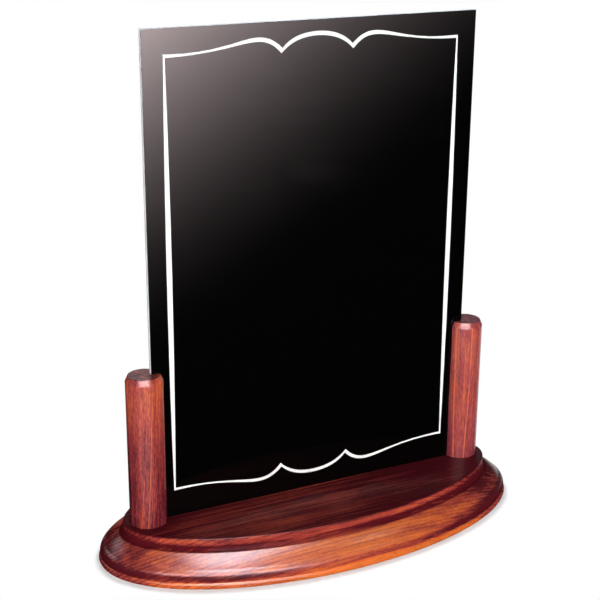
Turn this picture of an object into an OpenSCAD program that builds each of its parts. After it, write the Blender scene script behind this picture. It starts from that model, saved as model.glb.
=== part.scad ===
// Table-top menu board: a glossy black board that drops into a moulded oval
// wooden base between two slotted round posts.
// Frame: origin on the table under the middle of the base, X along the board
// to the viewer's right, -Y towards the viewer, Z up. Millimetres.

/* [Board] */
// Width of the board
board_w = 210; // [180:1:214]
// Height of the board, with the part that sits in the groove
board_h = 297; // [200:1:420]
// Thickness of the board's white core
core_t = 2.4; // [1.5:0.1:4]
// Thickness of each glossy black face sheet
face_t = 0.3; // [0.2:0.05:0.6]
// Clearance on each side of the board in its groove and slots
board_gap = 0.3; // [0.2:0.05:0.5]

/* [Printed border] */
// Thickness of the white ink
ink_t = 0.06; // [0.04:0.01:0.1]
// Board's side edge to the middle of the upright line
border_side = 12.6; // [8:0.1:16]
// Board's top edge to the top of the border's middle arch
border_top = 6.5; // [4:0.1:20]
// Board's bottom edge to the bottom of the border's middle arch
border_bottom = 18; // [14:0.1:30]
// Width of an upright line at its middle
line_w = 3.2; // [2:0.1:5]
// Width of an upright line where it meets the corner
line_end_w = 1; // [0.8:0.1:1.8]
// Width of the upper line on the middle arch
arch_w = 2.4; // [1.5:0.1:4]
// Width of the upper line on a side hump
hump_w = 2.3; // [1.5:0.1:4]
// Width of the upper line at a cusp
cusp_w = 2.9; // [1.5:0.1:4]
// Width of the upper line at the corner
corner_w = 1.9; // [1:0.1:3]
// Widths of the lower line, as a share of the upper one's
foot_share = 0.85; // [0.6:0.05:1]
// Middle of the board to a cusp
cusp_x = 22.2; // [16:0.1:26]
// Depth of a cusp below the top of the middle arch
cusp_drop = 8.2; // [5:0.1:10]
// Middle of the board to the top of a side hump
hump_x = 37.5; // [32:0.1:44]
// Height of the middle arch above a side hump
hump_drop = 1.6; // [0:0.1:4]
// Height of the middle arch above a corner
corner_drop = 7.4; // [4:0.1:10]

/* [Base] */
// Length of the oval base
base_l = 278; // [274:1:320]
// Width of the oval base
base_w = 136; // [124:1:160]
// Thickness of the base
base_h = 25; // [23:0.5:40]
// Depth of the groove that the board stands in
groove_depth = 9; // [5:0.5:12]

/* [Moulding round the base] */
// Radius of the bead at the foot
bead_r = 2.2; // [1.6:0.1:2.6]
// How far the bead turns in above its widest point, in degrees
bead_turn = 60; // [40:1:80]
// Radius of the lower roll
roll_r = 5.5; // [4:0.1:6.5]
// How far the lower roll turns in below its widest point, in degrees
roll_under = 20; // [5:1:40]
// How far the lower roll turns in above its widest point, in degrees
roll_turn = 60; // [40:1:75]
// Radius of the hollow between the two rolls
hollow_r = 3.5; // [1.5:0.1:5]
// Slope of the hollow where the upper roll begins, from upright, in degrees
waist_slope = 43; // [40:1:48]
// Radius of the upper roll
ovolo_r = 31; // [24:0.5:36]
// Slope of the upper roll at its top, from upright, in degrees
ovolo_turn = 62; // [58:1:64]
// Radius of the cove under the top fillet
cove_r = 2.7; // [2:0.1:3.5]
// Rounding of the top edge
arris_r = 0.5; // [0.3:0.1:1]

/* [Posts] */
// Diameter of a post
post_d = 22; // [18:0.5:26]
// Length of a post, with the part in its socket
post_len = 101; // [70:1:180]
// Depth of the socket in the base
socket_depth = 8; // [5:0.5:10]
// Radial glue gap round a post in its socket
glue_gap = 0.1; // [0.05:0.05:0.2]
// Board's side edge to the axis of a post
post_offset = 4; // [3.6:0.1:6]
// Width of the bevel at a post's top
bevel_w = 1.6; // [0.5:0.1:3]
// Height of the bevel at a post's top
bevel_h = 3.5; // [0.5:0.1:6]

/* [Screws] */
// Outside diameter of the thread
screw_d = 4; // [3:0.5:4.5]
// Length of a screw
screw_len = 40; // [35:1:45]
// Diameter of the countersunk head
screw_head_d = 8; // [7:0.5:10]
// Pitch of the thread
screw_pitch = 1.8; // [1.4:0.1:2.4]
// Depth of the thread
thread_h = 0.7; // [0.4:0.1:0.9]
// Depth of the hole that hides the head
head_recess = 4; // [3:0.5:6]
// Radial clearance round a screw
screw_gap = 0.15; // [0.1:0.05:0.3]

/* [Foot pads] */
// Diameter of a foot pad
pad_d = 12; // [8:0.5:16]
// Thickness of a foot pad
pad_t = 1.5; // [1.2:0.1:3]
// Height of a pad that stands out below the base
pad_proud = 0.5; // [0.3:0.1:1]
// Radial clearance of a pad in its recess
pad_gap = 0.1; // [0.05:0.05:0.2]
// Middle of the base to a pad, along the base
pad_x = 88; // [60:1:92]
// Middle of the base to a pad, across the base
pad_y = 30; // [20:1:33]

/* [Hidden] */
$fn = 64;

LEFT = -1;
RIGHT = 1;
FRONT = -1;
REAR = 1;
// Overlap that lets a cut run clear of a face
CUT = 1;

base_top = pad_proud + base_h;
board_t = core_t + 2 * face_t;
board_z = base_top - groove_depth;
post_x = board_w / 2 + post_offset;
post_z = base_top - socket_depth;
slot_w = board_t + 2 * board_gap;
slot_x = board_w / 2 + board_gap;

function polar(r, turn) = r * [cos(turn), sin(turn)];

// Centres and ends of the moulding's arcs: insets from the outermost edge, and heights above the underside
bead_c = [bead_r, bead_r];
bead_end = bead_c + polar(bead_r, 180 - bead_turn);
roll_c = bead_end - polar(roll_r, 180 + roll_under);
roll_end = roll_c + polar(roll_r, 180 - roll_turn);
hollow_c = roll_end - polar(hollow_r, -roll_turn);
hollow_end = hollow_c + polar(hollow_r, -waist_slope);
ovolo_c = hollow_end - polar(ovolo_r, 180 - waist_slope);
ovolo_end = ovolo_c + polar(ovolo_r, 180 - ovolo_turn);
cove_c = ovolo_end + [0, cove_r];
top_in = cove_c[0] + cove_r;
// Steps round the oval, along a small roll and along an arc that turns less
OVAL_STEPS = 72;
ROLL_STEPS = 5;
SMALL_STEPS = 3;

// Screw: head down, point up in the post
screw_z = pad_proud + head_recess;
head_h = (screw_head_d - screw_d) / 2;
root_r = screw_d / 2 - thread_h;
point_h = screw_d;
SHANK_SHARE = 0.4;
thread_from = screw_len * SHANK_SHARE;
thread_turns = floor((screw_len - point_h - thread_from) / screw_pitch);
// Holes for a screw's thread and for its head
screw_bore = screw_d + 2 * screw_gap;
head_bore = screw_head_d + 2 * screw_gap;
// Cross recess: its length and width as shares of the head's diameter, and its
// depth as a share of the head's height
RECESS_LENGTH = 0.55;
RECESS_WIDTH = 0.12;
RECESS_DEPTH = 0.6;

// Border, measured from its own middle
border_x = board_w / 2 - border_side;
border_half = (board_h - border_top - border_bottom) / 2;
border_z = board_z + border_bottom + border_half;
hump_y = border_half - hump_drop;
cusp_y = border_half - cusp_drop;
corner_y = border_half - corner_drop;
outer_x = border_x + line_w / 2;
inner_x = border_x - line_w / 2;
CURVE_STEPS = 8;
// A point nearer to the middle than this isn't mirrored
ON_AXIS = 0.001;
// Handles of the border's curves, as shares of a curve's run along and across the border
ARCH_TOP = 0.45;
ARCH_FOOT = [0.77, 0.35];
HUMP_FOOT = [0.31, 0.28];
HUMP_RISE = 0.6;
HUMP_FALL = 0.18;
SHOULDER = [0.44, 0.28];
// How far the inner tip of a cusp lies outside the outer one
CUSP_SHIFT = 0.5;
outer_corner = [border_x + line_end_w / 2, corner_y];
// Both edges aim at one point along the shoulder, which thins the line there
shoulder = [
    hump_x + (outer_corner[0] - hump_x) * SHOULDER[0],
    corner_y - (hump_y - corner_y) * SHOULDER[1]
];

// Points of an arc, both ends included
function arc_points(c, r, from, to, steps) =
    [for (i = [0 : steps]) c + polar(r, from + (to - from) * i / steps)];

// A list without its first entry, for an arc that goes on from the last point
function rest(points) = [for (i = [1 : len(points) - 1]) points[i]];

function curve_at(p, t) =
    pow(1 - t, 3) * p[0] + 3 * t * pow(1 - t, 2) * p[1] + 3 * t * t * (1 - t) * p[2] + pow(t, 3) * p[3];

// Points of a curve with four control points, without its last one
function curve(p) = [for (i = [0 : CURVE_STEPS - 1]) curve_at(p, i / CURVE_STEPS)];

function mirrored_x(points) = [for (i = [len(points) - 1 : -1 : 0]) [-points[i][0], points[i][1]]];

function mirrored_y(points) = [for (i = [len(points) - 1 : -1 : 0]) [points[i][0], -points[i][1]]];

// Section of the moulded edge as inset and height, from the foot to the top
function moulding() = concat(
    arc_points(bead_c, bead_r, 270, 180 - bead_turn, ROLL_STEPS),
    rest(arc_points(roll_c, roll_r, 180 + roll_under, 180 - roll_turn, ROLL_STEPS)),
    rest(arc_points(hollow_c, hollow_r, -roll_turn, -waist_slope, SMALL_STEPS)),
    rest(arc_points(ovolo_c, ovolo_r, 180 - waist_slope, 180 - ovolo_turn, SMALL_STEPS)),
    rest(arc_points(cove_c, cove_r, -90, 0, SMALL_STEPS)),
    arc_points([top_in + arris_r, base_h - arris_r], arris_r, 180, 90, SMALL_STEPS)
);

// Ellipse of the base, drawn in square to its edge by an inset, at height z
function oval_ring(inset, z) =
    [for (i = [0 : OVAL_STEPS - 1])
        let (
            turn = 360 * i / OVAL_STEPS,
            out = [base_w * cos(turn), base_l * sin(turn)],
            edge = [base_l * cos(turn), base_w * sin(turn)] / 2 - inset * out / norm(out)
        )
        [edge[0], edge[1], z]];

// Oval slab with the moulding run round its edge
module oval_base() {
    section = moulding();
    last = len(section) - 1;
    points = [for (p = section) each oval_ring(p[0], p[1])];
    sides = [for (j = [0 : last - 1], i = [0 : OVAL_STEPS - 1])
        let (k = (i + 1) % OVAL_STEPS, low = j * OVAL_STEPS, high = low + OVAL_STEPS)
        [low + i, high + i, high + k, low + k]];
    underside = [for (i = [0 : OVAL_STEPS - 1]) i];
    top = [for (i = [OVAL_STEPS - 1 : -1 : 0]) last * OVAL_STEPS + i];
    polyhedron(points, concat(sides, [underside, top]));
}

module base() {
    color("#8c3a26")
        difference() {
            translate([0, 0, pad_proud]) oval_base();
            translate([-slot_x, -slot_w / 2, board_z]) cube([2 * slot_x, slot_w, groove_depth + CUT]);
            for (side = [LEFT, RIGHT])
                translate([side * post_x, 0, 0]) {
                    translate([0, 0, post_z]) cylinder(d = post_d + 2 * glue_gap, h = socket_depth + CUT);
                    cylinder(d = screw_bore, h = base_top);
                    translate([0, 0, pad_proud - CUT]) cylinder(d = head_bore, h = head_recess + CUT);
                    translate([0, 0, screw_z]) cylinder(d1 = head_bore, d2 = screw_bore, h = head_h);
                }
            for (side = [LEFT, RIGHT], end = [FRONT, REAR])
                translate([side * pad_x, end * pad_y, 0]) cylinder(d = pad_d + 2 * pad_gap, h = pad_t);
        }
}

// Round post with a bevelled top, slotted from its inner side and bored for its screw
module post(side) {
    r = post_d / 2;
    section = [[0, 0], [r, 0], [r, post_len - bevel_h], [r - bevel_w, post_len], [0, post_len]];
    color("#9a4630")
        difference() {
            translate([side * post_x, 0, post_z]) rotate_extrude() polygon(section);
            translate([side * slot_x / 2, 0, post_z + post_len / 2])
                cube([slot_x, slot_w, post_len + 2 * CUT], center = true);
            translate([side * post_x, 0, post_z - CUT])
                cylinder(d = screw_bore, h = screw_z + screw_len - post_z + 2 * CUT);
        }
}

module post_left() post(LEFT);

module post_right() post(RIGHT);

// Countersunk wood screw with a cross recess, its thread drawn as rings
module screw(side) {
    thread = [for (i = [0 : thread_turns - 1], p = [[root_r, 0], [screw_d / 2, screw_pitch / 2]])
        [p[0], thread_from + i * screw_pitch + p[1]]];
    thread_to = thread_from + thread_turns * screw_pitch;
    section = concat(
        [[0, 0], [screw_head_d / 2, 0], [screw_d / 2, head_h], [screw_d / 2, thread_from - thread_h]],
        thread,
        [[root_r, thread_to], [root_r, screw_len - point_h], [0, screw_len]]
    );
    recess = screw_head_d * RECESS_LENGTH;
    recess_w = screw_head_d * RECESS_WIDTH;
    recess_h = head_h * RECESS_DEPTH;
    color("silver")
        translate([side * post_x, 0, screw_z])
            difference() {
                rotate_extrude() polygon(section);
                for (turn = [0, 90])
                    rotate([0, 0, turn])
                        translate([-recess / 2, -recess_w / 2, -CUT])
                            cube([recess, recess_w, CUT + recess_h]);
            }
}

module post_screw_left() screw(LEFT);

module post_screw_right() screw(RIGHT);

module foot_pad(side, end) {
    color("#2b2b2b")
        translate([side * pad_x, end * pad_y, 0]) cylinder(d = pad_d, h = pad_t);
}

module foot_pad_front_left() foot_pad(LEFT, FRONT);

module foot_pad_front_right() foot_pad(RIGHT, FRONT);

module foot_pad_rear_left() foot_pad(LEFT, REAR);

module foot_pad_rear_right() foot_pad(RIGHT, REAR);

// Upright sheet of the board, from y over thickness t
module sheet(y, t) {
    translate([-board_w / 2, y, board_z]) cube([board_w, t, board_h]);
}

module board_core() color("white") sheet(-core_t / 2, core_t);

module board_front_face() color("#0a0a0b") sheet(-board_t / 2, face_t);

module board_rear_face() color("#0a0a0b") sheet(core_t / 2, face_t);

// One quarter of an edge of the border, from the top of the middle arch to the middle of the side
function border_quarter(top, cusp, hump, shoulder, corner, side) = concat(
    curve([[0, top], [cusp[0] * ARCH_TOP, top],
           [cusp[0] * ARCH_FOOT[0], top - (top - cusp[1]) * ARCH_FOOT[1]], cusp]),
    curve([cusp, [cusp[0] + (hump_x - cusp[0]) * HUMP_FOOT[0], hump - (hump - cusp[1]) * HUMP_FOOT[1]],
           [cusp[0] + (hump_x - cusp[0]) * HUMP_RISE, hump], [hump_x, hump]]),
    curve([[hump_x, hump], [hump_x + (corner[0] - hump_x) * HUMP_FALL, hump], shoulder, corner]),
    curve([corner, [(corner[0] + 2 * side) / 3, corner[1] * 2 / 3], [side, corner[1] / 3], [side, 0]])
);

function outer_quarter() =
    border_quarter(border_half, [cusp_x, cusp_y], hump_y, shoulder, outer_corner, outer_x);

// Inner quarter, with the widths of the upper line times a share
function inner_quarter(share) = border_quarter(
    border_half - arch_w * share,
    [cusp_x + CUSP_SHIFT, cusp_y - cusp_w * share],
    hump_y - hump_w * share,
    shoulder,
    [border_x - line_end_w / 2, corner_y - corner_w * share],
    inner_x
);

// Closed edge of the border from its upper and lower quarters and the middle of its side
function border_loop(upper, lower, side) =
    let (half = concat(upper, [[side, 0]], mirrored_y(lower)))
    concat(half, mirrored_x([for (p = half) if (p[0] > ON_AXIS) p]));

module border(y) {
    outer = border_loop(outer_quarter(), outer_quarter(), outer_x);
    inner = border_loop(inner_quarter(1), inner_quarter(foot_share), inner_x);
    color("white")
        translate([0, y, border_z])
            rotate([90, 0, 0])
                linear_extrude(ink_t)
                    polygon(
                        concat(outer, inner),
                        [[for (i = [0 : len(outer) - 1]) i],
                         [for (i = [0 : len(inner) - 1]) len(outer) + i]]
                    );
}

module border_front() border(-board_t / 2);

module border_rear() border(board_t / 2 + ink_t);

base();
post_left();
post_right();
post_screw_left();
post_screw_right();
foot_pad_front_left();
foot_pad_front_right();
foot_pad_rear_left();
foot_pad_rear_right();
board_core();
board_front_face();
board_rear_face();
border_front();
border_rear();
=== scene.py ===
"""Looks of a table-top menu board.

A glossy black board with a white scalloped border stands in a moulded oval base of red-stained wood,
between two slotted round posts. Metres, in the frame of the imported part.
"""

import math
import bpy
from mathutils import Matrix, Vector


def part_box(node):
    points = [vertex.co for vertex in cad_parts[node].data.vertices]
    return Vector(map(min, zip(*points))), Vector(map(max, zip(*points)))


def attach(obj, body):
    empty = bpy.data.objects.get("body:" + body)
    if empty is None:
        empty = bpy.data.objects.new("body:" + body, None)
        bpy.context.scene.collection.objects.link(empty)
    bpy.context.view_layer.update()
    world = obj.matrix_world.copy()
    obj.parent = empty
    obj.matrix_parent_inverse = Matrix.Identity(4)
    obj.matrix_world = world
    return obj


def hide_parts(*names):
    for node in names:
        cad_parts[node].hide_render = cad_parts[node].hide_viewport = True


bl_info = {
    "name": "Menu board",
    "version": (1, 0, 0),
    "blender": (4, 5, 0),
    "location": "3D View > Sidebar > Menu board",
    "description": "Builds the wood, board and stage of a table-top menu board around its packed part",
    "category": "Object",
}

from collections import namedtuple

import bmesh
import bpy
from bpy.props import FloatProperty, FloatVectorProperty, PointerProperty
from bpy.types import Operator, Panel, PropertyGroup
from mathutils import Matrix, Vector

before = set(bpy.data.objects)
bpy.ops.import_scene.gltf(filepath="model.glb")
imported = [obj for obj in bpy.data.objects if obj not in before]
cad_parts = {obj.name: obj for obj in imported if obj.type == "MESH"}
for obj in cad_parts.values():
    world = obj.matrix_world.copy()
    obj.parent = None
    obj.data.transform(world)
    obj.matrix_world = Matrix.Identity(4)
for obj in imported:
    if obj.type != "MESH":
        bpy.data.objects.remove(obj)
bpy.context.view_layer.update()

LEFT = -1
RIGHT = 1
SIDES = {"left": LEFT, "right": RIGHT}
MM = 0.001
QUARTER_TURN = math.pi / 2
HALF_TURN = math.pi
FULL_TURN = 2 * math.pi
BLACK = (0.0, 0.0, 0.0)
WHITE = (1.0, 1.0, 1.0)

# Sockets of a Mix node that mixes colours
MIX_FACTOR = 0
MIX_A = 6
MIX_B = 7
MIX_COLOUR = 2


# Properties that a user would change

def length(name, description, default):
    """A length in metres."""
    return FloatProperty(
        name=name,
        description=description,
        default=default,
        min=0.0,
        precision=5,
        unit="LENGTH",
        subtype="DISTANCE",
    )


def angle(name, description, degrees):
    """An angle, given in degrees."""
    return FloatProperty(
        name=name,
        description=description,
        default=math.radians(degrees),
        subtype="ANGLE",
    )


def share(name, description, default):
    """A number from 0 to 1."""
    return FloatProperty(
        name=name,
        description=description,
        default=default,
        min=0.0,
        max=1.0,
        subtype="FACTOR",
    )


def colour(name, description, default):
    """A linear colour."""
    return FloatVectorProperty(
        name=name,
        description=description,
        default=default,
        min=0.0,
        max=1.0,
        size=3,
        subtype="COLOR",
    )


class BaseShape(PropertyGroup):
    """Section of the base's moulded edge, and the sizes of what is cut into the base."""

    bead_radius: length("Bead", "Radius of the bead at the foot", 2.2 * MM)
    bead_turn: angle("Bead turn", "How far the bead turns in above its widest point", 60.0)
    roll_radius: length("Lower roll", "Radius of the lower roll", 5.5 * MM)
    roll_under: angle("Lower roll foot", "How far the lower roll turns in below its widest point", 20.0)
    roll_turn: angle("Lower roll turn", "How far the lower roll turns in above its widest point", 60.0)
    hollow_radius: length("Hollow", "Radius of the hollow between the two rolls", 3.5 * MM)
    waist_slope: angle("Waist slope", "Slope of the hollow where the upper roll begins, from upright", 43.0)
    ovolo_radius: length("Upper roll", "Radius of the upper roll", 31.0 * MM)
    ovolo_turn: angle("Upper roll turn", "Slope of the upper roll at its top, from upright", 62.0)
    cove_radius: length("Cove", "Radius of the cove under the top fillet", 2.7 * MM)
    arris_radius: length("Arris", "Rounding of the top edge", 0.5 * MM)
    groove_gap: length("Groove gap", "Clearance on each side of the board", 0.3 * MM)
    socket_gap: length("Socket gap", "Radial glue gap round a post", 0.1 * MM)
    recess_gap: length("Recess gap", "Radial clearance round a screw's head", 0.1 * MM)
    pad_gap: length("Pad gap", "Radial clearance round a foot pad", 0.1 * MM)
    easing: length("Easing", "Width of the eased edges of the groove and sockets", 0.25 * MM)


class PostShape(PropertyGroup):
    """Shape of a post's top, and the sizes of what is cut into a post."""

    bevel_width: length("Bevel width", "Width of the bevel at the top", 1.6 * MM)
    bevel_height: length("Bevel height", "Height of the bevel at the top", 3.5 * MM)
    edge_radius: length("Edge radius", "Rounding of the bevel's two edges", 0.6 * MM)
    slot_easing: length("Slot easing", "Width of the slot's eased edges", 0.3 * MM)
    screw_gap: length("Screw gap", "Radial clearance round a screw's thread", 0.15 * MM)


class WoodFinish(PropertyGroup):
    """Red-stained wood under satin lacquer."""

    dark: colour("Dark stain", "Colour of late wood and streaks", (0.086, 0.006, 0.010))
    middle: colour("Middle stain", "Colour of most of the wood", (0.345, 0.046, 0.032))
    light: colour("Light stain", "Colour of pale early wood", (0.700, 0.150, 0.024))
    pore: colour("Pores", "Colour of stain that has gathered in the pores", (0.030, 0.003, 0.004))
    # Painted sheen: a violet mixed into the stain's colours that stands in for a reflection in the lacquer
    blush: colour("Blush", "Colour of the faint haze in the lacquer", (0.40, 0.22, 0.52))
    roughness: share("Roughness", "Roughness of the wood under its lacquer", 0.40)
    relief: length("Relief", "Depth of the pores and the late wood", 0.15 * MM)
    lacquer: share("Lacquer", "Weight of the lacquer", 1.0)
    lacquer_roughness: share("Lacquer roughness", "Roughness of the lacquer", 0.26)


class BoardFinish(PropertyGroup):
    """Finishes of the board and its printed border."""

    black: colour("Black", "Colour of the glossy face sheets", (0.0008, 0.0008, 0.0009))
    gloss: share("Gloss", "Strength of the reflection in the face sheets", 0.25)
    gloss_roughness: share("Gloss roughness", "Least roughness of the face sheets", 0.045)
    white: colour("Core", "Colour of the core's cut edge", (0.92, 0.92, 0.91))
    core_roughness: share("Core roughness", "Least roughness of the core's cut edge", 0.48)
    ink: colour("Ink", "Colour of the printed border", (0.93, 0.93, 0.92))
    ink_roughness: share("Ink roughness", "Least roughness of the printed border", 0.40)
    edge_bevel: length("Edge bevel", "Bevel along the board's edges", 0.08 * MM)


class HardwareFinish(PropertyGroup):
    """Finishes of the screws and foot pads."""

    zinc: colour("Zinc", "Colour of the plated screws", (0.66, 0.67, 0.69))
    zinc_roughness: share("Zinc roughness", "Least roughness of the plated screws", 0.28)
    rubber: colour("Rubber", "Colour of the foot pads", (0.030, 0.030, 0.032))
    rubber_roughness: share("Rubber roughness", "Least roughness of the foot pads", 0.72)
    pad_rounding: length("Pad rounding", "Rounding of a foot pad's edges", 0.3 * MM)


class StageShape(PropertyGroup):
    """Camera and floor."""

    camera_place: FloatVectorProperty(
        name="Camera place",
        description="Where the camera stands",
        default=(-0.3509, -0.6769, 0.4114),
        size=3,
        unit="LENGTH",
        subtype="XYZ",
    )
    camera_turn: angle("Camera turn", "How far the camera looks to the right of straight ahead", 26.77)
    camera_tilt: angle("Camera tilt", "How far the camera looks down", 19.11)
    camera_roll: angle("Camera roll", "How far the camera leans to its left", 0.40)
    lens: FloatProperty(name="Lens", description="Focal length", default=80.886, unit="CAMERA")
    floor: colour("Floor", "Colour of the floor", (0.90, 0.90, 0.90))
    floor_reach: length("Floor reach", "Half the width of the floor", 12.0)
    shadow_reach: length("Shadow reach", "How far from the base its shadow shows on the floor", 3.6 * MM)
    mirror_reach: length("Mirror reach", "How far from the base the floor is dark in gloss", 300.0 * MM)


class MenuBoardSettings(PropertyGroup):
    """All the settings of the menu board."""

    base: PointerProperty(type=BaseShape)
    posts: PointerProperty(type=PostShape)
    wood: PointerProperty(type=WoodFinish)
    board: PointerProperty(type=BoardFinish)
    hardware: PointerProperty(type=HardwareFinish)
    stage: PointerProperty(type=StageShape)


# Node trees

class Wire:
    """An output socket, on which Python's operators add Math nodes."""

    def __init__(self, sheet, socket):
        self.sheet = sheet
        self.socket = socket

    def output(self, name):
        """Another output of the same node."""
        return Wire(self.sheet, self.socket.node.outputs[name])

    def __add__(self, other):
        return self.sheet.maths("ADD", self, other)

    def __radd__(self, other):
        return self.sheet.maths("ADD", other, self)

    def __sub__(self, other):
        return self.sheet.maths("SUBTRACT", self, other)

    def __rsub__(self, other):
        return self.sheet.maths("SUBTRACT", other, self)

    def __mul__(self, other):
        return self.sheet.maths("MULTIPLY", self, other)

    def __rmul__(self, other):
        return self.sheet.maths("MULTIPLY", other, self)

    def __truediv__(self, other):
        return self.sheet.maths("DIVIDE", self, other)

    def __rtruediv__(self, other):
        return self.sheet.maths("DIVIDE", other, self)

    def __pow__(self, other):
        return self.sheet.maths("POWER", self, other)

    def __rpow__(self, other):
        return self.sheet.maths("POWER", other, self)

    def __mod__(self, other):
        return self.sheet.maths("FLOORED_MODULO", self, other)

    def __rmod__(self, other):
        return self.sheet.maths("FLOORED_MODULO", other, self)


# Zone along one axis, in millimetres, with soft ends of a half width. An end that is None is open.
Zone = namedtuple("Zone", "axis low high fade")

# Marks in a finish: their sizes along X, Y and Z in millimetres, the detail of their noise, the levels of
# noise between which they come in, what they add to the roughness, and the strength and depth of their relief
Mark = namedtuple("Mark", "sizes detail level roughness bump depth", defaults=(None, 0.0, 0.0, 0.0))


class NodeSheet:
    """One node tree, filled by node type, settings and sockets."""

    def __init__(self, owner):
        owner.use_nodes = True
        self.tree = owner.node_tree
        self.tree.nodes.clear()

    def add(self, kind, settings=None, sockets=None, output=0):
        """Adds a node, with its settings first and then its sockets, and gives one of its outputs."""
        node = self.tree.nodes.new(kind)
        for name, value in (settings or {}).items():
            if name == "stops":
                self.set_stops(node.color_ramp, value)
            else:
                setattr(node, name, value)
        for name, value in (sockets or {}).items():
            if isinstance(value, Wire):
                self.tree.links.new(value.socket, node.inputs[name])
            else:
                node.inputs[name].default_value = value
        return Wire(self, node.outputs[output]) if node.outputs else None

    @staticmethod
    def set_stops(ramp, stops):
        """Gives a colour ramp its stops, as places and colours."""
        while len(ramp.elements) < len(stops):
            ramp.elements.new(1.0)
        for element, (place, tint) in zip(ramp.elements, stops):
            element.position = place
            element.color = solid(tint)

    def maths(self, operation, *values):
        """A Math node on numbers and wires."""
        return self.add("ShaderNodeMath", {"operation": operation}, dict(enumerate(values)))

    def step(self, value, low, high):
        """A smooth step from 0 at low to 1 at high."""
        return self.add(
            "ShaderNodeMapRange",
            {"interpolation_type": "SMOOTHSTEP"},
            {"Value": value, "From Min": low, "From Max": high},
        )

    def fall(self, value, low, high):
        """A smooth step from 1 at low to 0 at high."""
        return 1.0 - self.step(value, low, high)

    def zone(self, value, zone):
        """1 inside a zone and 0 outside it."""
        rise = 1.0
        fall = 1.0
        if zone.low is not None:
            rise = self.step(value, zone.low - zone.fade, zone.low + zone.fade)
        if zone.high is not None:
            fall = self.fall(value, zone.high - zone.fade, zone.high + zone.fade)
        return rise * fall

    def mix(self, factor, first, second):
        """A mix of two colours."""
        return self.add(
            "ShaderNodeMix",
            {"data_type": "RGBA"},
            {MIX_FACTOR: factor, MIX_A: solid(first), MIX_B: solid(second)},
            MIX_COLOUR,
        )

    def mix_shaders(self, factor, first, second):
        """A mix of two shaders."""
        return self.add("ShaderNodeMixShader", sockets={0: factor, 1: first, 2: second})

    def noise(self, place, detail, roughness=0.5):
        """Noise with features about one unit across."""
        return self.add(
            "ShaderNodeTexNoise",
            sockets={"Vector": place, "Scale": 1.0, "Detail": detail, "Roughness": roughness},
        )

    def speckle(self, mark):
        """Noise whose features have a mark's sizes along the object's own axes."""
        place = self.add("ShaderNodeTexCoord", output="Object")
        metres = Vector(mark.sizes) * MM
        spread = self.add("ShaderNodeVectorMath", {"operation": "DIVIDE"}, {0: place, 1: metres})
        return self.noise(spread, mark.detail)

    def vector(self, x, y, z):
        """A vector of three numbers or wires."""
        return self.add("ShaderNodeCombineXYZ", sockets={"X": x, "Y": y, "Z": z})

    def split(self, vector):
        """The X, Y and Z of a vector."""
        x = self.add("ShaderNodeSeparateXYZ", sockets={"Vector": vector})
        return x, x.output("Y"), x.output("Z")

    def place_mm(self):
        """The object's own X, Y and Z in millimetres."""
        place = self.add("ShaderNodeTexCoord", output="Object")
        in_mm = self.add("ShaderNodeVectorMath", {"operation": "SCALE"}, {"Vector": place, "Scale": 1 / MM})
        return self.split(in_mm)

    def rays(self):
        """Whether a ray comes from the camera, and whether it comes from gloss."""
        light_path = self.add("ShaderNodeLightPath")
        return light_path.output("Is Camera Ray"), light_path.output("Is Glossy Ray")

    def bump(self, height, strength, distance):
        """A bumped normal, from a height between 0 and 1."""
        return self.add(
            "ShaderNodeBump", sockets={"Height": height, "Strength": strength, "Distance": distance}
        )

    def finish(self, sockets):
        """The main shader and the material's output."""
        surface = self.add("ShaderNodeBsdfPrincipled", sockets=sockets)
        self.add("ShaderNodeOutputMaterial", sockets={"Surface": surface})


def between(low, high, mask):
    """A value that goes from one number to another as a mask goes from 0 to 1."""
    return low + (high - low) * mask


def solid(value):
    """A colour with its alpha, or a wire as it is."""
    return value if isinstance(value, Wire) else (*value, 1.0)


def scaled(tint, factor):
    """A colour made darker or paler by a factor."""
    return tuple(factor * channel for channel in tint)


def new_material(name):
    """A material and its empty node tree."""
    material = bpy.data.materials.new(name)
    return material, NodeSheet(material)


# Finishes

# Middle of the range of a noise
NOISE_MEAN = 0.5

# Grain of one piece: its axis, where the pith lies across that axis and how it leans along it, and the
# spacing of the rings, in millimetres. Then how strong the late wood, early wood, fibres, flecks and streaks
# are, how dark the end grain is, how much of the painted sheen colour is mixed into the stain, and a shift of
# the noise.
Grain = namedtuple(
    "Grain", "along pith_a pith_b lean_a lean_b spacing late early fibre fleck streak end blush drift"
)

# Stain and painted light and shade of one piece: its tone from 0, dark, to 1, pale, its zones by name, and
# the changes of its tone, which mostly paint light and shade, and of its lacquer. A change is an amount and
# the names of the zones that have to overlap for it.
StainAndShade = namedtuple("StainAndShade", "tone zones tone_changes lacquer_changes", defaults=((),))

# Sizes of the wood's features along the grain and across it, in millimetres
BEND = (260.0, 70.0)
RIPPLE = (60.0, 6.0)
FIBRE = (14.0, 0.6)
FLECK = (3.2, 0.8)
STREAK = (90.0, 3.6)
BLOTCH = (45.0, 18.0)
PORE = (5.5, 0.45)
# How far bends and ripples push the rings, in millimetres
BEND_PUSH = 5.0
RIPPLE_PUSH = 0.6
# Where late wood begins and ends, and where early wood ends, as shares of a ring's width
LATE_START = (0.55, 0.90)
LATE_END = (0.91, 1.0)
EARLY_END = (0.03, 0.13)
# Levels of noise between which pores, pale rings and patches of early wood come in
PORE_LEVEL = (0.62, 0.72)
PALE_RING_LEVEL = (0.2, 0.9)
PATCH_LEVEL = (0.30, 0.62)
# Share of its strength that the weakest ring has, in late wood and in early wood
LEAST_LATE = 0.3
LEAST_EARLY = 0.25
# How strongly late wood shows along the grain and on end grain
LATE_ALONG = 0.5
LATE_ON_END = 2.5
# How strong blotches are in the tone, and how much of the gathered stain shows in a pore
BLOTCH_WEIGHT = 0.70
PORE_WEIGHT = 0.55
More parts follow.
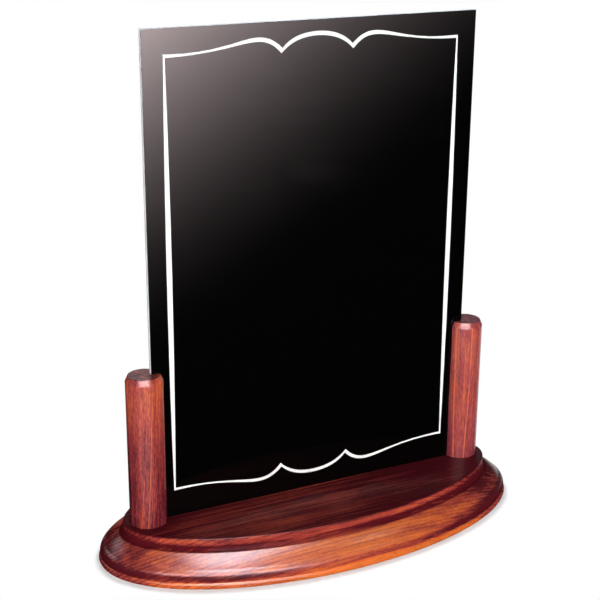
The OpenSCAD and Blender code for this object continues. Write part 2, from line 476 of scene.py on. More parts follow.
# What a feature adds to the height, the roughness and the lacquer of the wood's face
Effect = namedtuple("Effect", "height roughness lacquer")
IN_PORE = Effect(-0.5, 0.18, -0.25)
IN_LATE = Effect(-0.25, -0.05, -0.9)
IN_FIBRE = Effect(0.2, 0.16, 0.0)
FACE_HEIGHT = 0.8
BUMP_STRENGTH = 0.15
# Tones of the dark, middle and light stain
STAIN_TONES = (0.0, 0.5, 1.0)
# Marks in the other finishes
WIPES = Mark((60.0, 60.0, 26.0), detail=3.0, level=(0.45, 0.75), roughness=0.05)
DUST = Mark((1.1, 1.1, 1.1), detail=2.0, level=(0.70, 0.78), roughness=0.05)
SAW = Mark((0.9, 14.0, 0.9), detail=3.0, level=(0.55, 0.75), roughness=0.14, bump=0.25, depth=0.05 * MM)
GRIME = Mark((20.0, 3.0, 20.0), detail=2.0)
SCREEN = Mark((0.35, 0.35, 0.35), detail=1.0, roughness=0.16, bump=0.12, depth=0.02 * MM)
THIN_INK = Mark((6.0, 6.0, 6.0), detail=2.0, level=(0.45, 0.75))
ZINC_BLOTCH = Mark((1.6, 1.6, 1.6), detail=3.0, level=(0.4, 0.7), roughness=0.14)
ZINC_SCRATCH = Mark((0.25, 0.25, 3.0), detail=2.0, roughness=0.06, bump=0.15, depth=0.02 * MM)
RUBBER_GRAIN = Mark((0.5, 0.5, 0.5), detail=2.0, roughness=0.16, bump=0.3, depth=0.06 * MM)
RUBBER_DUST = Mark((4.0, 4.0, 4.0), detail=3.0, level=(0.5, 0.8))
# Height in which a wipe mark leans over by its own length, in millimetres
WIPE_SLANT = 90.0
# How strongly dust whitens the black sheet, and saw marks and grime darken the core
DUST_IN_BLACK = 0.003
SAW_IN_CORE = 0.35
GRIME_IN_CORE = 0.1
# Shade of soiled core, thin ink, dull zinc and dusty rubber, as a factor of the clean colour
SOILED_SHADE = 0.80
THIN_SHADE = 0.93
DULL_SHADE = 0.72
DUSTY_SHADE = 3.0


def changed(value, changes, masks):
    """A value with each change added where the zones that it names overlap."""
    for amount, *zone_names in changes:
        for zone_name in zone_names:
            amount = masks[zone_name] * amount
        value = value + amount
    return value


def wood_finish(name, wood, grain, stain):
    """Stained wood whose rings, fibres and pores run along one axis, round a pith away from it.

    Its tone carries painted light, shade and sheen as well as its grain. Only its lacquer is glossy.
    """
    material, sheet = new_material(name)
    places = dict(zip("XYZ", sheet.place_mm()))
    masks = {zone_name: sheet.zone(places[zone.axis], zone) for zone_name, zone in stain.zones.items()}
    along = places.pop(grain.along)
    across_a, across_b = places.values()
    normal = sheet.add("ShaderNodeTexCoord", output="Normal")
    facing = sheet.add("ShaderNodeSeparateXYZ", sockets={"Vector": normal}, output=grain.along)
    end_grain = facing * facing

    def feature(size, detail, roughness=0.5):
        """Noise of a size along the grain and across it."""
        run, width = size
        place = sheet.vector(along / run + grain.drift, across_a / width, across_b / width)
        return sheet.noise(place, detail, roughness)

    from_a = across_a - grain.pith_a - along * grain.lean_a
    from_b = across_b - grain.pith_b - along * grain.lean_b
    bend = feature(BEND, detail=1.0) * BEND_PUSH
    ripple = feature(RIPPLE, detail=2.0) * RIPPLE_PUSH
    ring = ((from_a * from_a + from_b * from_b) ** 0.5 + bend + ripple) / grain.spacing
    phase = ring % 1.0
    number = sheet.maths("FLOOR", ring)
    ring_weight = sheet.add("ShaderNodeTexWhiteNoise", {"noise_dimensions": "1D"}, {"W": number}, "Value")
    late_share = sheet.step(phase, *LATE_START) * sheet.fall(phase, *LATE_END)
    late = late_share * between(LEAST_LATE, 1.0, ring_weight)
    pale_ring = sheet.step(ring_weight, *PALE_RING_LEVEL)
    early = sheet.fall(phase, *EARLY_END) * between(LEAST_EARLY, 1.0, pale_ring)

    fibre = feature(FIBRE, detail=3.0, roughness=0.65)
    fleck = feature(FLECK, detail=2.0)
    streak = feature(STREAK, detail=3.0)
    blotch = feature(BLOTCH, detail=2.0)
    pore = sheet.step(feature(PORE, detail=1.0), *PORE_LEVEL)

    # The zone changes paint light and shade into the tone; the rest of the tone is the grain
    tone = (
        changed(stain.tone, stain.tone_changes, masks)
        + (fibre - NOISE_MEAN) * grain.fibre
        + (fleck - NOISE_MEAN) * grain.fleck
        + (streak - NOISE_MEAN) * grain.streak
        + (blotch - NOISE_MEAN) * BLOTCH_WEIGHT
        - late * grain.late * between(LATE_ALONG, LATE_ON_END, end_grain)
        + early * grain.early * sheet.step(blotch, *PATCH_LEVEL)
        - end_grain * grain.end
    )
    # Mixing the stain's colours towards the painted sheen colour paints a sheen into the wood
    tints = [Vector(tint).lerp(wood.blush, grain.blush) for tint in (wood.dark, wood.middle, wood.light)]
    stained = sheet.add("ShaderNodeValToRGB", {"stops": list(zip(STAIN_TONES, tints))}, {"Fac": tone})
    height = FACE_HEIGHT + pore * IN_PORE.height + late * IN_LATE.height + fibre * IN_FIBRE.height
    roughness = (
        wood.roughness
        + pore * IN_PORE.roughness
        + late * IN_LATE.roughness
        + (fibre - NOISE_MEAN) * IN_FIBRE.roughness
    )
    lacquer = wood.lacquer + pore * IN_PORE.lacquer + late * end_grain * IN_LATE.lacquer
    sheet.finish({
        "Base Color": sheet.mix(pore * PORE_WEIGHT, stained, wood.pore),
        "Roughness": roughness,
        "Normal": sheet.bump(height, BUMP_STRENGTH, wood.relief),
        "Specular IOR Level": 0.0,
        "Coat Weight": lacquer * changed(1.0, stain.lacquer_changes, masks),
        "Coat Roughness": wood.lacquer_roughness,
    })
    return material


def black_gloss_finish(board):
    """Glossy black sheet with faint wipe marks and dust in its gloss."""
    material, sheet = new_material("black_gloss")
    x, y, z = sheet.place_mm()
    x_size, y_size, z_size = WIPES.sizes
    slanted = sheet.vector(x / x_size + z / WIPE_SLANT, y / y_size, z / z_size)
    wipe = sheet.step(sheet.noise(slanted, WIPES.detail), *WIPES.level)
    dust = sheet.step(sheet.speckle(DUST), *DUST.level)
    sheet.finish({
        "Base Color": sheet.mix(dust * DUST_IN_BLACK, board.black, board.ink),
        "Roughness": board.gloss_roughness + wipe * WIPES.roughness + dust * DUST.roughness,
        "Specular IOR Level": board.gloss,
    })
    return material


def core_finish(board):
    """White plastic core with the fine marks of the saw across its cut edge."""
    material, sheet = new_material("white_core")
    saw = sheet.speckle(SAW)
    grime = sheet.speckle(GRIME)
    soiled = sheet.step(saw, *SAW.level) * SAW_IN_CORE + grime * GRIME_IN_CORE
    sheet.finish({
        "Base Color": sheet.mix(soiled, board.white, scaled(board.white, SOILED_SHADE)),
        "Roughness": board.core_roughness + saw * SAW.roughness,
        "Normal": sheet.bump(saw, SAW.bump, SAW.depth),
    })
    return material


def ink_finish(board):
    """White screen-printed ink, slightly uneven."""
    material, sheet = new_material("white_ink")
    screen = sheet.speckle(SCREEN)
    thin = sheet.step(sheet.speckle(THIN_INK), *THIN_INK.level)
    sheet.finish({
        "Base Color": sheet.mix(thin, board.ink, scaled(board.ink, THIN_SHADE)),
        "Roughness": board.ink_roughness + screen * SCREEN.roughness,
        "Normal": sheet.bump(screen, SCREEN.bump, SCREEN.depth),
    })
    return material


def zinc_finish(hardware):
    """Zinc-plated steel with a blotched passivated skin."""
    material, sheet = new_material("zinc_steel")
    blotch = sheet.speckle(ZINC_BLOTCH)
    dull = sheet.step(blotch, *ZINC_BLOTCH.level)
    scratch = sheet.speckle(ZINC_SCRATCH)
    roughening = blotch * ZINC_BLOTCH.roughness + scratch * ZINC_SCRATCH.roughness
    sheet.finish({
        "Base Color": sheet.mix(dull, hardware.zinc, scaled(hardware.zinc, DULL_SHADE)),
        "Metallic": 1.0,
        "Roughness": hardware.zinc_roughness + roughening,
        "Normal": sheet.bump(scratch, ZINC_SCRATCH.bump, ZINC_SCRATCH.depth),
    })
    return material


def rubber_finish(hardware):
    """Matt rubber with a fine moulded grain and a little dust."""
    material, sheet = new_material("pad_rubber")
    grain = sheet.speckle(RUBBER_GRAIN)
    dust = sheet.step(sheet.speckle(RUBBER_DUST), *RUBBER_DUST.level)
    sheet.finish({
        "Base Color": sheet.mix(dust, hardware.rubber, scaled(hardware.rubber, DUSTY_SHADE)),
        "Roughness": hardware.rubber_roughness + grain * RUBBER_GRAIN.roughness,
        "Normal": sheet.bump(grain, RUBBER_GRAIN.bump, RUBBER_GRAIN.depth),
    })
    return material


# Meshes

# Steps along each arc of the moulding, and along the lower and upper edge of a post's bevel
ROLL_STEPS = 18
HOLLOW_STEPS = 8
COVE_STEPS = 12
ARRIS_STEPS = 5
LOWER_EDGE_STEPS = 3
UPPER_EDGE_STEPS = 6
# Edges with a larger angle stay sharp in a turned or moulded piece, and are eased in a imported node
SHARP_ANGLE = math.radians(28.0)
EASED_ANGLE = math.radians(40.0)
EASED_STEPS = 2
# How far a cut runs clear of a face
OVERCUT = 1.0 * MM
# Diameter of a screw's thread as a share of its head's
THREAD_SHARE = 0.5


def polar(radius, turn):
    """A step out from a centre, in a section."""
    return Vector((radius * math.cos(turn), radius * math.sin(turn)))


def arc(centre, radius, start, end, steps):
    """Points of an arc in a section, from one turn to another, both ends included."""
    return [Vector(centre) + polar(radius, start + (end - start) * i / steps) for i in range(steps + 1)]


def circle_ring(axis_x, axis_y, radius, z, steps):
    """Points round an upright axis at one height."""
    turns = [FULL_TURN * i / steps for i in range(steps)]
    return [(axis_x + radius * math.cos(turn), axis_y + radius * math.sin(turn), z) for turn in turns]


def oval_ring(half_length, half_width, inset, z, steps):
    """Points of the base's ellipse, drawn in square to its edge by an inset."""
    ring = []
    for i in range(steps):
        turn = FULL_TURN * i / steps
        out = Vector((half_width * math.cos(turn), half_length * math.sin(turn))).normalized()
        edge = Vector((half_length * math.cos(turn), half_width * math.sin(turn))) - inset * out
        ring.append((edge.x, edge.y, z))
    return ring


def skin(rings):
    """A closed mesh skinned over rings of as many points each, with a face over the first and the last."""
    shell = bmesh.new()
    rows = [[shell.verts.new(point) for point in ring] for ring in rings]
    count = len(rows[0])
    for low, high in zip(rows, rows[1:]):
        for i in range(count):
            k = (i + 1) % count
            shell.faces.new((low[i], low[k], high[k], high[i]))
    shell.faces.new(rows[0][::-1])
    shell.faces.new(rows[-1])
    bmesh.ops.recalc_face_normals(shell, faces=shell.faces)
    return shell


def lathe(axis_x, axis_y, section, steps):
    """A turned shape about an upright axis, from a section of radii and heights."""
    return skin([circle_ring(axis_x, axis_y, radius, z, steps) for radius, z in section])


def new_object(name, *shells):
    """An object that holds one or more shells."""
    joined = bmesh.new()
    for shell in shells:
        part = bpy.data.meshes.new(name)
        shell.to_mesh(part)
        shell.free()
        joined.from_mesh(part)
        bpy.data.meshes.remove(part)
    mesh = bpy.data.meshes.new(name)
    joined.to_mesh(mesh)
    joined.free()
    piece = bpy.data.objects.new(name, mesh)
    bpy.context.scene.collection.objects.link(piece)
    return piece


def cut(piece, *cutters):
    """Cuts objects out of a piece, one after the other, and removes them."""
    for cutter in cutters:
        boolean = piece.modifiers.new("cut", "BOOLEAN")
        boolean.operation = "DIFFERENCE"
        boolean.solver = "EXACT"
        boolean.object = cutter
    graph = bpy.context.evaluated_depsgraph_get()
    rough = piece.data
    piece.data = bpy.data.meshes.new_from_object(piece.evaluated_get(graph))
    piece.modifiers.clear()
    bpy.data.meshes.remove(rough)
    for cutter in cutters:
        mesh = cutter.data
        bpy.data.objects.remove(cutter)
        bpy.data.meshes.remove(mesh)


def smooth(piece):
    """Smooth shading, with sharp edges kept."""
    piece.data.shade_smooth()
    piece.data.set_sharp_from_angle(angle=SHARP_ANGLE)


def dress(piece, material):
    """Gives a piece its one material."""
    piece.data.materials.clear()
    piece.data.materials.append(material)


def stand_for(piece, node, body):
    """Lets a piece stand for a node, on the node's body, and hides the node."""
    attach(piece, body)
    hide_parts(node)


def ease_edges(node, width):
    """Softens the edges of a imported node."""
    bevel = node.modifiers.new("eased edges", "BEVEL")
    bevel.width = width
    bevel.segments = EASED_STEPS
    bevel.limit_method = "ANGLE"
    bevel.angle_limit = EASED_ANGLE


def moulding(shape, height):
    """Section of the moulded edge as insets and heights above the underside, from the foot to the top."""
    bead = shape.bead_radius
    roll = shape.roll_radius
    hollow = shape.hollow_radius
    ovolo = shape.ovolo_radius
    cove = shape.cove_radius
    arris = shape.arris_radius
    bead_to = HALF_TURN - shape.bead_turn
    roll_from = HALF_TURN + shape.roll_under
    roll_to = HALF_TURN - shape.roll_turn
    hollow_from = -shape.roll_turn
    hollow_to = -shape.waist_slope
    ovolo_from = HALF_TURN - shape.waist_slope
    ovolo_to = HALF_TURN - shape.ovolo_turn
    bead_centre = Vector((bead, bead))
    roll_centre = bead_centre + polar(bead, bead_to) - polar(roll, roll_from)
    hollow_centre = roll_centre + polar(roll, roll_to) - polar(hollow, hollow_from)
    ovolo_centre = hollow_centre + polar(hollow, hollow_to) - polar(ovolo, ovolo_from)
    cove_centre = ovolo_centre + polar(ovolo, ovolo_to) + Vector((0.0, cove))
    top_in = cove_centre.x + cove
    # A ring close to the arris keeps the top flat in smooth shading
    return (
        [(bead + arris, 0.0)]
        + arc(bead_centre, bead, 3 * QUARTER_TURN, bead_to, ROLL_STEPS)
        + arc(roll_centre, roll, roll_from, roll_to, ROLL_STEPS)[1:]
        + arc(hollow_centre, hollow, hollow_from, hollow_to, HOLLOW_STEPS)[1:]
        + arc(ovolo_centre, ovolo, ovolo_from, ovolo_to, ROLL_STEPS)[1:]
        + arc(cove_centre, cove, -QUARTER_TURN, 0.0, COVE_STEPS)[1:]
        + arc((top_in + arris, height - arris), arris, HALF_TURN, QUARTER_TURN, ARRIS_STEPS)
        + [(top_in + 3 * arris, height)]
    )


def post_axis(side):
    """The X of a post's axis and the post's radius, from its outer side, which has no slot."""
    low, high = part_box("post_" + side)
    radius = (high.y - low.y) / 2
    return (low.x + radius if SIDES[side] == LEFT else high.x - radius), radius


class MENUBOARD_OT_base(Operator):
    """Makes the oval base with its moulding, groove and sockets"""

    bl_idname = "menuboard.base"
    bl_label = "Base"
    bl_options = {"REGISTER", "UNDO"}

    oval_steps = 288
    round_steps = 96
    grain = Grain(
        "X", pith_a=170.0, pith_b=210.0, lean_a=0.012, lean_b=0.0, spacing=2.2,
        late=0.60, early=0.40, fibre=0.60, fleck=0.4, streak=1.2, end=0.30, blush=0.0, drift=3.7,
    )
    # Painted light and shade in the tone. Painted shade on the top, in the cove under the fillet, at the
    # fillet's foot, in a band across the lower roll, towards the right on the lower roll and at the top of
    # the slope, and at the right end; less of it in the middle of the front and on the top left of the
    # middle. A painted highlight on the bead. The rolls are palest right of the middle, partly paler wood and
    # partly a painted highlight, and the left end is darker. The lacquer is thinner on the top, in the cove,
    # across the lower roll, on the fillet and at the left side.
    stain = StainAndShade(
        tone=0.58,
        zones={
            "bead": Zone("Z", None, 4.8, 0.4),
            "lower_roll": Zone("Z", 4.8, 11.5, 1.0),
            "roll_face": Zone("Z", 5.8, 9.2, 1.0),
            "rolls": Zone("Z", None, 18.25, 1.25),
            "slope_top": Zone("Z", 15.5, 18.5, 1.0),
            "over_slope": Zone("Z", 18.1, None, 0.2),
            "under_fillet": Zone("Z", None, 21.0, 0.6),
            "fillet_foot": Zone("Z", 19.5, 22.4, 0.9),
            "fillet": Zone("Z", 20.6, 24.4, 0.3),
            "top": Zone("Z", 24.9, None, 0.5),
            "left_end": Zone("X", None, -124.0, 12.0),
            "left_side": Zone("X", None, -95.0, 15.0),
            "left_of_middle": Zone("X", -80.0, 20.0, 25.0),
            "middle": Zone("X", -50.0, 4.0, 16.0),
            "right_of_middle": Zone("X", -40.0, 72.0, 35.0),
            "right_front": Zone("X", 60.0, None, 20.0),
            "right_slope": Zone("X", 70.0, None, 20.0),
            "right_end": Zone("X", 95.0, None, 15.0),
        },
        tone_changes=(
            (0.34, "bead"),
            (-0.34, "lower_roll", "right_front"),
            (-0.46, "roll_face"),
            (0.34, "roll_face", "middle"),
            (0.28, "rolls", "right_of_middle"),
            (-0.25, "slope_top", "right_slope"),
            (-0.54, "over_slope", "under_fillet"),
            (0.22, "over_slope", "under_fillet", "middle"),
            (-0.25, "fillet_foot"),
            (0.30, "fillet_foot", "middle"),
            (-0.58, "top"),
            (0.30, "top", "left_of_middle"),
            (-0.42, "left_end"),
            (0.05, "left_side"),
            (-0.36, "right_end"),
        ),
        lacquer_changes=(
            (-0.40, "roll_face"),
            (-0.95, "over_slope", "under_fillet"),
            (-0.50, "fillet"),
            (-0.60, "top"),
            (-0.30, "left_side"),
        ),
    )

    def execute(self, context):
        settings = context.scene.menu_board
        shape = settings.base
        low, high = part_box("base")
        rings = [
            oval_ring(high.x, high.y, inset, low.z + z, self.oval_steps)
            for inset, z in moulding(shape, high.z - low.z)
        ]
        base = new_object("oval_base", skin(rings))
        round_cuts = [self.post_cut(shape, side, low.z, high.z) for side in SIDES]
        round_cuts += [self.pad_cut(shape, node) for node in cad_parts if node.startswith("foot_pad")]
        cut(base, self.groove_cut(shape, high.z), new_object("round_cuts", *round_cuts))
        smooth(base)
        dress(base, wood_finish("mahogany_base", settings.wood, self.grain, self.stain))
        stand_for(base, "base", "stand")
        return {"FINISHED"}

    @staticmethod
    def groove_cut(shape, top):
        """The groove that the board stands in, with its top edges eased."""
        low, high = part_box("board_core")
        half_length = high.x + shape.groove_gap
        half_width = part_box("board_rear_face")[1].y + shape.groove_gap
        ease = shape.easing

        def ring(grow, z):
            """Outline of the groove at one height."""
            x = half_length + grow
            y = half_width + grow
            return [(-x, -y, z), (x, -y, z), (x, y, z), (-x, y, z)]

        rings = [ring(0.0, low.z), ring(0.0, top - ease), ring(2 * ease, top + ease)]
        return new_object("groove", skin(rings))

    def post_cut(self, shape, side, underside, top):
        """A post's socket, with the screw's hole and head recess under it."""
        post_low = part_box("post_" + side)[0]
        screw_low, screw_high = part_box("post_screw_" + side)
        axis_x, radius = post_axis(side)
        socket = radius + shape.socket_gap
        recess = (screw_high.x - screw_low.x) / 2 + shape.recess_gap
        hole = THREAD_SHARE * recess
        ease = shape.easing
        section = [
            (recess, underside - OVERCUT),
            (recess, screw_low.z),
            (hole, screw_low.z + recess - hole),
            (hole, post_low.z),
            (socket, post_low.z),
            (socket, top - ease),
            (socket + 2 * ease, top + ease),
        ]
        return lathe(axis_x, 0.0, section, self.round_steps)

    def pad_cut(self, shape, node):
        """The recess of a foot pad."""
        low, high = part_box(node)
        middle = (low + high) / 2
        radius = (high.x - low.x) / 2 + shape.pad_gap
        return lathe(middle.x, middle.y, [(radius, low.z), (radius, high.z)], self.round_steps)


class MENUBOARD_OT_posts(Operator):
    """Makes the two round posts with their bevelled tops and slots"""

    bl_idname = "menuboard.posts"
    bl_label = "Posts"
    bl_options = {"REGISTER", "UNDO"}

    round_steps = 128
    hole_steps = 48
    grains = {
        "left": Grain(
            "Z", pith_a=-173.6, pith_b=-30.0, lean_a=0.06, lean_b=0.0, spacing=2.6,
            late=0.30, early=0.75, fibre=1.0, fleck=0.8, streak=1.1, end=0.25, blush=0.015, drift=11.3,
        ),
        "right": Grain(
            "Z", pith_a=60.0, pith_b=-69.6, lean_a=0.01, lean_b=0.0, spacing=4.1,
            late=0.20, early=0.60, fibre=0.9, fleck=0.7, streak=0.8, end=0.10, blush=0.055, drift=23.9,
        ),
    }
    # Painted shade: darker towards the foot
    stains_and_shade = {
        "left": StainAndShade(0.02, {"upper": Zone("Z", 75.0, None, 43.0)}, ((0.64, "upper"),)),
        "right": StainAndShade(0.35, {"upper": Zone("Z", 47.5, None, 22.5)}, ((0.16, "upper"),)),
    }

    def execute(self, context):
        settings = context.scene.menu_board
        for side, sign in SIDES.items():
            node = "post_" + side
            low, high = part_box(node)
            axis_x, radius = post_axis(side)
            section = self.section(settings.posts, radius, low.z, high.z)
            post = new_object("round_post_" + side, lathe(axis_x, 0.0, section, self.round_steps))
            slot = self.slot_cut(settings, sign, radius, axis_x, low.z, high.z)
            cut(post, slot, self.screw_cut(settings.posts, side, axis_x))
            smooth(post)
            dress(post, wood_finish("mahogany_" + node, settings.wood, self.grains[side], self.stains_and_shade[side]))
            stand_for(post, node, "stand")
        return {"FINISHED"}

    @staticmethod
    def section(shape, radius, bottom, top):
        """Radii and heights of a post, from its foot to its top."""
        slope = math.atan2(shape.bevel_width, shape.bevel_height)
        edge = shape.edge_radius
        wall_end = top - shape.bevel_height
        lower = edge * math.tan(slope / 2)
        upper = edge * math.tan((QUARTER_TURN - slope) / 2)
        neck = radius - shape.bevel_width
        # Rings close to the edges keep the wall and both ends flat in smooth shading
        return (
            [(radius - 2 * edge, bottom), (radius - edge, bottom)]
            + [(radius, bottom + edge), (radius, wall_end - 2 * lower - edge)]
            + arc((radius - edge, wall_end - lower), edge, 0.0, slope, LOWER_EDGE_STEPS)
            + arc((neck - upper, top - edge), edge, slope, QUARTER_TURN, UPPER_EDGE_STEPS)
            + [(neck - upper - edge, top)]
        )

    @staticmethod
    def slot_cut(settings, sign, radius, axis_x, bottom, top):
        """The slot from a post's inner side to just past the board's edge."""
        board_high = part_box("board_core")[1]
        half_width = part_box("board_rear_face")[1].y + settings.base.groove_gap
        end = board_high.x + settings.base.groove_gap
        mouth = abs(axis_x) - math.sqrt(radius * radius - half_width * half_width)
        ease = settings.posts.slot_easing

        def ring(grow, z):
            """Outline of the slot at one height, wider at its mouth."""
            stations = [
                (end + grow, half_width + grow),
                (mouth + ease, half_width + grow),
                (mouth - 2 * ease, half_width + 3 * ease + grow),
            ]
            outline = stations + [(x, -y) for x, y in reversed(stations)]
            return [(sign * x, y, z) for x, y in outline]

        rings = [ring(0.0, bottom - OVERCUT), ring(0.0, top - ease), ring(2 * ease, top + ease)]
        return new_object("slot", skin(rings))

    def screw_cut(self, shape, side, axis_x):
        """The screw's hole up the post."""
        low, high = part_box("post_screw_" + side)
        radius = THREAD_SHARE * (high.x - low.x) / 2 + shape.screw_gap
        section = [(radius, low.z), (radius, high.z + OVERCUT)]
        return new_object("screw_hole", lathe(axis_x, 0.0, section, self.hole_steps))


class MENUBOARD_OT_board(Operator):
    """Finishes the board's white core and its two glossy black faces"""

    bl_idname = "menuboard.board"
    bl_label = "Board"
    bl_options = {"REGISTER", "UNDO"}

    def execute(self, context):
        finish = context.scene.menu_board.board
        gloss = black_gloss_finish(finish)
        materials = {
            "board_core": core_finish(finish),
            "board_front_face": gloss,
            "board_rear_face": gloss,
        }
        for node, material in materials.items():
            dress(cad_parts[node], material)
            ease_edges(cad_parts[node], finish.edge_bevel)
        return {"FINISHED"}


class MENUBOARD_OT_border(Operator):
    """Finishes the printed border on both faces"""

    bl_idname = "menuboard.border"
    bl_label = "Printed border"
    bl_options = {"REGISTER", "UNDO"}

    def execute(self, context):
        ink = ink_finish(context.scene.menu_board.board)
        for node in ("border_front", "border_rear"):
            dress(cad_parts[node], ink)
        return {"FINISHED"}


class MENUBOARD_OT_hardware(Operator):
    """Finishes the screws under the posts and the foot pads"""

    bl_idname = "menuboard.hardware"
    bl_label = "Screws and foot pads"
    bl_options = {"REGISTER", "UNDO"}

    def execute(self, context):
        finish = context.scene.menu_board.hardware
        zinc = zinc_finish(finish)
        rubber = rubber_finish(finish)
        for name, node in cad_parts.items():
            if name.startswith("post_screw"):
                dress(node, zinc)
            elif name.startswith("foot_pad"):
                dress(node, rubber)
                ease_edges(node, finish.pad_rounding)
        return {"FINISHED"}


# Stage

# Azimuth is to the right of the viewer's side, in degrees. Level is what a lamp adds to a white face that is
# turned to it. A lamp lights matt surfaces, or shows only in gloss. Spin turns it about the line to its aim.
Lamp = namedtuple(
    "Lamp", "name azimuth elevation distance width height level gloss_only tint spin", defaults=(0.0,)
)
COOL = (0.80, 0.91, 1.0)
WARM = (1.0, 0.86, 0.55)


class MENUBOARD_OT_stage(Operator):
    """Makes the floor, the lights and the camera"""

    bl_idname = "menuboard.stage"
    bl_label = "Stage"
    bl_options = {"REGISTER", "UNDO"}

    lamps = (
        Lamp("key", -8.0, 9.0, 1.3, 0.50, 0.36, 1.00, False, WHITE),
        Lamp("left_fill", -88.0, 5.0, 1.2, 0.50, 0.30, 0.35, False, WHITE),
        Lamp("right_fill", 92.0, 6.0, 1.2, 0.50, 0.30, 0.20, False, WHITE),
        Lamp("rear_fill", 172.0, 6.0, 1.5, 0.80, 0.40, 0.65, False, WHITE),
        Lamp("overhead_strip", 149.5, 79.9, 1.15, 0.47, 2.20, 5.31, True, COOL, 5.5),
        Lamp("front_panel", -25.0, 35.0, 1.2, 1.40, 0.60, 2.80, True, COOL),
        Lamp("back_card", 155.0, 29.0, 1.2, 0.60, 0.30, 0.012, True, COOL),
        Lamp("left_card", -138.0, 27.0, 1.2, 0.75, 0.40, 0.17, True, COOL),
        Lamp("right_spot", 56.0, 53.0, 1.2, 0.15, 0.15, 0.065, True, WARM),
    )
    aim = Vector((0.0, 0.0, 0.10))
    ambient = 0.04
    # Share of the mirror reach at which the dark floor begins to fade
    dark_share = 0.5
    # How much of its white the floor keeps where it meets the base
    contact_white = 0.45
    # Keeps the slope of the oval's distance above zero
    least_slope = 0.001
    # Where the floor is white in gloss, in metres: a wedge at the front left and a patch at the back right,
    # both only near the base
    wedge_slant = 0.363
    wedge_side = (-0.145, -0.112)
    wedge_back = (-0.11, -0.03)
    patch_side = (0.13, 0.17)
    patch_front = (-0.02, 0.03)
    white_end = (0.40, 0.50)
    # Soft glow that only gloss sees: the low right part of a wide round one in front of the board
    card_direction = (-0.214, -0.802, 0.557)
    card_edge = 0.402
    card_falloff = 3.87
    card_top = (-0.11, -0.06)
    card_side = (0.12, 0.32)
    card_light = 1580.0
    card_tint = (1.0, 0.82, 0.83)

    def execute(self, context):
        stage = context.scene.menu_board.stage
        context.scene.view_settings.view_transform = "Standard"
        self.make_camera(context, stage)
        self.make_floor(stage)
        for lamp in self.lamps:
            self.make_lamp(context, lamp)
        self.make_world(context)
        return {"FINISHED"}

    @staticmethod
    def make_camera(context, stage):
        """The camera at the photograph's viewing angle."""
        data = bpy.data.cameras.new("camera")
        data.lens = stage.lens
        camera = bpy.data.objects.new("camera", data)
        camera.matrix_world = (
            Matrix.Translation(stage.camera_place)
            @ Matrix.Rotation(-stage.camera_turn, 4, "Z")
            @ Matrix.Rotation(QUARTER_TURN - stage.camera_tilt, 4, "X")
            @ Matrix.Rotation(stage.camera_roll, 4, "Z")
        )
        context.scene.collection.objects.link(camera)
        context.scene.camera = camera

    def make_lamp(self, context, lamp):
        """An area lamp that faces the aim from its azimuth, elevation and distance."""
        data = bpy.data.lights.new(lamp.name, "AREA")
        data.shape = "RECTANGLE"
        data.size = lamp.width
        data.size_y = lamp.height
        data.energy = lamp.level * (math.pi * lamp.distance) ** 2
        data.color = lamp.tint
        light = bpy.data.objects.new(lamp.name, data)
        light.matrix_world = (
            Matrix.Translation(self.aim)
            @ Matrix.Rotation(math.radians(lamp.azimuth), 4, "Z")
            @ Matrix.Rotation(QUARTER_TURN - math.radians(lamp.elevation), 4, "X")
            @ Matrix.Rotation(math.radians(lamp.spin), 4, "Z")
            @ Matrix.Translation((0.0, 0.0, lamp.distance))
        )
        light.visible_glossy = lamp.gloss_only
        light.visible_diffuse = not lamp.gloss_only
        context.scene.collection.objects.link(light)

    def make_floor(self, stage):
        """The plain pale floor."""
        reach = stage.floor_reach
        shell = bmesh.new()
        corners = [(-reach, -reach), (reach, -reach), (reach, reach), (-reach, reach)]
        shell.faces.new([shell.verts.new((x, y, 0.0)) for x, y in corners])
        floor = new_object("floor", shell)
        dress(floor, self.floor_finish(stage))

    def from_base(self, x, y):
        """About how far a place on the floor lies from the base's oval, in metres."""
        half_length, half_width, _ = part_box("base")[1]
        along = x / half_length
        across = y / half_width
        oval = (along * along + across * across) ** 0.5
        slope_x = along / half_length
        slope_y = across / half_width
        return (oval - 1.0) * oval / (slope_x * slope_x + slope_y * slope_y + self.least_slope) ** 0.5

    def floor_finish(self, stage):
        """White to the camera but painted darker by distance near the base, where its real shadow shows too,
        pale to other rays, and mostly dark in gloss.
        """
        material, sheet = new_material("pale_floor")
        x, y, _ = sheet.split(sheet.add("ShaderNodeNewGeometry", output="Position"))
        distance = self.from_base(x, y)
        camera_ray, glossy_ray = sheet.rays()
        pale = sheet.add("ShaderNodeBsdfDiffuse", sockets={"Color": solid(stage.floor)})
        white = sheet.add("ShaderNodeEmission", sockets={"Color": solid(WHITE), "Strength": 1.0})
        dark = sheet.add("ShaderNodeBsdfDiffuse", sockets={"Color": solid(BLACK)})
        clear = sheet.add("ShaderNodeBsdfTransparent")

        # Painted shadow: near the base the floor mixes in more of its diffuse by distance alone, along with
        # the real shadow there
        clear_of_base = sheet.step(distance, 0.0, stage.shadow_reach)
        lit = camera_ray * between(self.contact_white, 1.0, clear_of_base)
        seen = sheet.mix_shaders(lit, pale, white)

        far = sheet.step(distance, self.dark_share * stage.mirror_reach, stage.mirror_reach)
        wedge = sheet.fall(x + self.wedge_slant * y, *self.wedge_side) * sheet.fall(y, *self.wedge_back)
        patch = sheet.step(x, *self.patch_side) * sheet.step(y, *self.patch_front)
        beside = (wedge + patch) * sheet.fall(distance, *self.white_end)
        mirrored = sheet.mix_shaders(beside, sheet.mix_shaders(far, dark, clear), white)

        surface = sheet.mix_shaders(glossy_ray, seen, mirrored)
        sheet.add("ShaderNodeOutputMaterial", sockets={"Surface": surface})
        return material

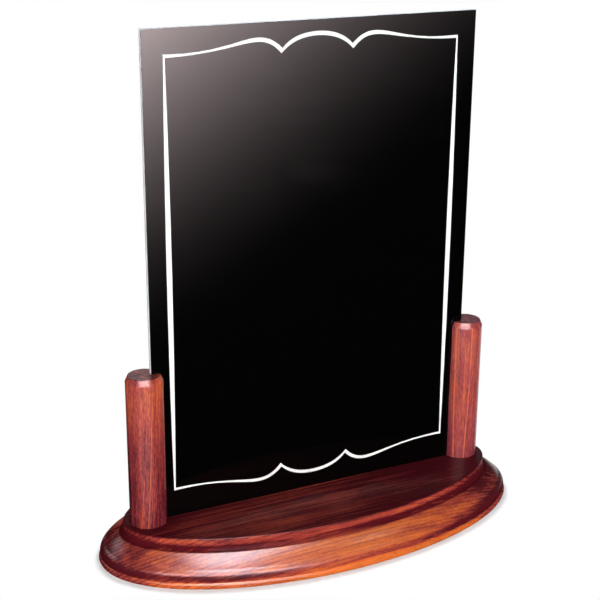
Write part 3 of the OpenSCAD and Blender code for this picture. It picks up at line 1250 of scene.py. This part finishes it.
    def make_world(self, context):
        """White to the camera, faint light all round, and a soft glow in gloss."""
        world = bpy.data.worlds.new("studio")
        context.scene.world = world
        sheet = NodeSheet(world)
        direction = sheet.add("ShaderNodeTexCoord", output="Generated")
        camera_ray, glossy_ray = sheet.rays()
        toward = sheet.add(
            "ShaderNodeVectorMath",
            {"operation": "DOT_PRODUCT"},
            {0: direction, 1: self.card_direction},
            "Value",
        )
        near = sheet.maths("MAXIMUM", (toward - self.card_edge) / (1.0 - self.card_edge), 0.0)
        x, _, z = sheet.split(direction)
        card = near ** self.card_falloff * sheet.fall(z, *self.card_top) * sheet.step(x, *self.card_side)

        def glow(tint, strength):
            """Light from all directions."""
            return sheet.add("ShaderNodeBackground", sockets={"Color": solid(tint), "Strength": strength})

        in_gloss = sheet.mix_shaders(card, glow(BLACK, 0.0), glow(self.card_tint, self.card_light))
        unseen = sheet.mix_shaders(glossy_ray, glow(WHITE, self.ambient), in_gloss)
        background = sheet.mix_shaders(camera_ray, unseen, glow(WHITE, 1.0))
        sheet.add("ShaderNodeOutputWorld", sockets={"Surface": background})


class MENUBOARD_PT_panel(Panel):
    """Lists the steps and settings of the menu board"""

    bl_idname = "MENUBOARD_PT_panel"
    bl_label = "Menu board"
    bl_space_type = "VIEW_3D"
    bl_region_type = "UI"
    bl_category = "Menu board"

    def draw(self, context):
        """A button for each step, and a box for each group of settings."""
        for step in STEPS:
            self.layout.operator(step.bl_idname)
        settings = context.scene.menu_board
        for group_name in MenuBoardSettings.__annotations__:
            group = getattr(settings, group_name)
            box = self.layout.box()
            for name in group.__annotations__:
                box.prop(group, name)


STEPS = (
    MENUBOARD_OT_stage,
    MENUBOARD_OT_base,
    MENUBOARD_OT_posts,
    MENUBOARD_OT_board,
    MENUBOARD_OT_border,
    MENUBOARD_OT_hardware,
)
GROUPS = (BaseShape, PostShape, WoodFinish, BoardFinish, HardwareFinish, StageShape, MenuBoardSettings)
CLASSES = GROUPS + STEPS + (MENUBOARD_PT_panel,)


def register():
    """Registers the classes and gives the scene its settings."""
    for item in CLASSES:
        bpy.utils.register_class(item)
    bpy.types.Scene.menu_board = PointerProperty(type=MenuBoardSettings)


def unregister():
    """Takes the settings and the classes away again."""
    del bpy.types.Scene.menu_board
    for item in reversed(CLASSES):
        bpy.utils.unregister_class(item)


def main():
    """Builds the whole menu board."""
    register()
    bpy.ops.menuboard.stage()
    bpy.ops.menuboard.base()
    bpy.ops.menuboard.posts()
    bpy.ops.menuboard.board()
    bpy.ops.menuboard.border()
    bpy.ops.menuboard.hardware()


if __name__ == "__main__":
    main()
